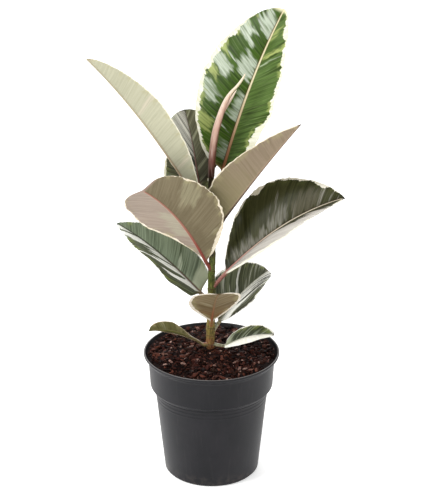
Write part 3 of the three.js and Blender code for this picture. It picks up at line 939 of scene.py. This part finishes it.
LOOKS = dict(
    leaf_01=dict(
        border=(2.2, 30), ragged=1.8, foot=(0.14, 0.3), foot_edge=0.12, foot_hue="#a3a88f",
        sectors=(0.5, 0.3), sector=6, slant=(1.1, 0.42), stalk="#564a2e",
        upper=dict(
            dark="#171b0c", mid="#414a33", grey="#5c6450", silver="#949d87", cream="#efefe2",
            light="#fbfaf2", rib_foot="#8f9074", rib_tip="#e4e3d6",
        ),
    ),
    leaf_02=dict(
        border=(1.2, 1.2), ragged=0.6, tip="#4a4c26",
        under=dict(
            dark="#4f4a29", mid="#6e6a41", grey="#797551", silver="#8f8c69", line="#45421f", cream="#cdb796",
            light="#e2d0b6", rib_foot="#6f6040", rib_tip="#62632f",
        ),
    ),
    leaf_03=dict(
        border=(2.8, 3.4), ragged=0.8, sectors=(0.2, 0.35), foot=(0.25, 0.25), foot_edge=0.2,
        foot_hue="#7c5f3d", rib=1.1,
        patches=((0, 1, 0.4, 4.5), (1, 1, 0.4, 4.5)),
        under=dict(
            dark="#64543a", mid="#837459", grey="#857a5d", silver="#978c70", line="#98865f", cream="#e6dac6",
            light="#f5efe4", rib_foot="#8c5538", rib_tip="#836a4c", groove="#6d5239",
        ),
    ),
    leaf_04=dict(
        border=(2, 0.8), heart=(-60, 19), ragged=1.6, foot=(0.1, 0.14), foot_hue="#444833", slant=(0.9, 1.8),
        sectors=(0.45, 0.3), finger=44, finger_wide=7, sector=5,
        zones=((0, 33, 35, 4, 22, "light", 0.9), (0, 66, 84, 10, 40, "light", 2)),
        upper=dict(
            dark=("#2a2f1c", "#222216"), mid=("#565b46", "#4a4b39"), grey="#777b68", silver="#bcbeb0",
            cream="#dfe0d6", light="#fafaf6", rib_foot="#a5a892", rib_tip="#e6e6da", groove="#5b5e4a",
        ),
    ),
    leaf_05=dict(
        border=(0.6, 1), heart=(13, -60), ragged=1.1, foot=(-1, 0.17), foot_edge=0.05, foot_hue="#a9b096",
        sectors=(0.2, 0.2), slant=(1.8, 0.6), tip="#4e5a42", vein=0.5, finger=52, finger_wide=9,
        upper=dict(
            dark=("#2b3018", "#4a5540"), mid=("#525839", "#7d8971"), grey=("#6e7456", "#8a957e"),
            silver=("#9aa189", "#b4bca4"), cream="#e6e8de", light="#fdfdf8", line="#97a38b",
            # Painted shade: the dark rib_tip and groove colours stand for the shade in the midrib's groove.
            rib_foot="#6f5a4e", rib_tip="#3c4030", groove="#4c523c",
        ),
    ),
    leaf_06=dict(
        border=(1, 4.5), ragged=1.8, sectors=(0.22, 0.05), near=(0.05, 0), sector=7, limes=0.1,
        slant=(0.6, 1.3), foot=(0.12, -1), foot_edge=0.1, foot_hue="#34362a", stalk="#8f5f55", tip="#2a2a18",
        rib=1.7, grooves=0.8, gloss=0.15,
        patches=((0, 0.5, 0.07, 7), (0, 0.88, 0.05, 5), (0, 0.7, 0.15, 1.5), (1, 0.85, 0.2, -4)),
        # Its silver zones are partly silver variegation and partly painted reflections.
        zones=(
            (0, 16, 64, 0, 12, "silver", 0.65), (0, 68, 92, 3, 18, "silver", 0.6),
            (0, 98, 128, 3, 20, "grey", 0.9), (1, 50, 190, -20, 8, "grey", 3),
            (1, 70, 96, -20, 16, "grey", 3), (1, 105, 190, -20, 17, "grey", 3),
            (1, 10, 60, -20, 8, "silver", 0.8),
        ),
        upper=dict(
            dark=("#25270c", "#a19a92"), mid=("#45462a", "#d6d2ca"), grey=("#5a5643", "#33331c"),
            silver=("#98958a", "#8d7a74"), cream="#e9e3cd", light="#f7f3e4", line="#45462f",
            rib_foot="#b07a70", rib_tip="#d2c8b2", groove="#3a2c26",
        ),
    ),
    leaf_07=dict(
        border=(1, 1.2), ragged=1.2, sectors=(0.2, 0.2), stalk="#7d4a3c", rib=1.5,
        tip="#a38d80", vein=0.3,
        patches=((0, 0.18, 0.2, 5), (0, 0.42, 0.12, 2), (0, 0.8, 0.05, 3), (1, 0.45, 0.3, 1.6)),
        # The dark zone by the midrib of the left half is painted shade in the blade's fold there.
        zones=(
            (0, 18, 100, -4, 12, "dark", 1), (1, 38, 78, 1, 18, "grey", 1), (0, 60, 84, 20, 44, "grey", 1),
        ),
        under=dict(
            dark=("#6e634b", "#8d7e71"), mid=("#7f745b", "#9f9082"), grey=("#918a6e", "#a29b87"),
            silver=("#9b9276", "#b0a494"), line=("#675b42", "#b5a799"), cream="#ded0b6", light="#efe6d2",
            rib_foot="#8a4238", rib_tip="#a0705f", groove=("#6e5240", "#b39c8c"),
        ),
    ),
    leaf_08=dict(
        border=(1.2, 1.6), ragged=0.5, foot=(0.35, 0.35), foot_edge=0.3, foot_hue="#857c5a",
        stalk="#6a5a3e", tip="#5c4c42",
        under=dict(
            dark="#80715b", mid="#8e7e6a", grey="#8f8168", silver="#9b8d74", line="#9f8f77", cream="#e3d5b8",
            light="#f2e8d2", rib_foot="#4d3c2e", rib_tip="#85705f", groove="#a18c74",
        ),
    ),
    leaf_09=dict(
        border=(1.1, 1.3), ragged=0.5, vein=0.3, tip="#b0a58b",
        under=dict(
            dark="#adab92", mid="#bbb9a0", grey="#bdb6a0", silver="#c8c0ab", line="#a3a187", cream="#e6e0c8",
            light="#f2edda", rib_foot="#9c826a", rib_tip="#b3a88c", groove="#9a9076",
        ),
    ),
    leaf_10=dict(
        # The bright silver sectors that cover much of the left half are a painted highlight streak.
        border=(0.7, 0.3), ragged=0.5, sectors=(0.7, 0.35), sector=7, rib=1, tip="#2a2a22", slant=(2.2, 1.2),
        vein=0, quilt=0.02,
        upper=dict(
            dark=("#1f1f15", "#34321b"), mid=("#3c3b30", "#63634a"), grey=("#6c6b60", "#6c6e54"),
            silver=("#d6d4c6", "#96967a"), line="#57573f", cream="#83836c", light="#b5b49a",
            rib_foot="#7a564a", rib_tip="#6d5950",
        ),
    ),
    leaf_11=dict(
        border=(5, 4.5), ragged=2.8, sectors=(0.14, 0.1), sector=9, limes=0.6, grooves=0.9, rib=2,
        slant=(0.45, 0.42), stalk="#9a6a44", tip="#e9e3bc", vein=0.25, gloss=0.14,
        patches=((0, 0.95, 0.14, -7), (0, 0.2, 0.1, -3), (1, 0.24, 0.13, 8), (1, 0.87, 0.05, 6)),
        # Its silver sectors and silver zones on the left half are partly silver variegation and partly
        # painted reflections.
        zones=(
            (0, 56, 86, -2, 12, "silver", 0.65), (0, 100, 123, 1, 20, "silver", 0.85),
            (0, 128, 144, 20, 60, "silver", 0.9), (0, 85, 97, 26, 60, "silver", 0.85),
            (0, 56, 69, 30, 60, "silver", 0.7), (0, 151, 174, -6, 22, "silver", 0.8),
            (0, 14, 32, -3, 9, "silver", 0.5), (0, 101, 107, 40, 60, "lime", 0.9),
            (0, 76, 82, 38, 60, "lime", 0.9), (0, 28, 42, 26, 60, "lime", 0.75),
            (1, 126, 132, -20, 60, "lime", 0.9), (1, 148, 160, -20, 16, "lime", 0.8),
        ),
        upper=dict(
            dark=("#1e2e06", "#2f4012"), mid=("#44611b", "#567034"), grey=("#8a9f82", "#778c62"),
            silver=("#cdd6c4", "#acb89a"), lime="#a6b168", cream="#dddbc0", light="#ecebdb", line="#84955f",
            rib_foot="#a06a48", rib_tip="#dad0aa", groove="#4a3219",
        ),
    ),
    leaf_12=dict(
        border=(3, 3),
        upper=dict(dark="#26280f", mid="#6a6d4a"),
    ),
)


# ------------ the plant
make_camera()
for box_name, box in SOFT_BOXES.items():
    soft_light(box_name, *box)
make_surroundings()
make_floor()
make_pot()
make_soil()
make_chips("bark_chips", 3, 900, ((3, 2.2, 1.2), (10, 6, 3.2)), 0.3)
make_chips("bark_crumbs", 8, 2400, ((1.2, 0.9, 0.7), (3.2, 2.4, 1.7)), 0.4)
make_stem()
make_sheath()
for number, (leaf_name, leaf_shape) in enumerate(LEAVES.items(), 1):
    make_leaf(leaf_name, leaf_shape, PLAIN_LOOK | LOOKS[leaf_name], number)
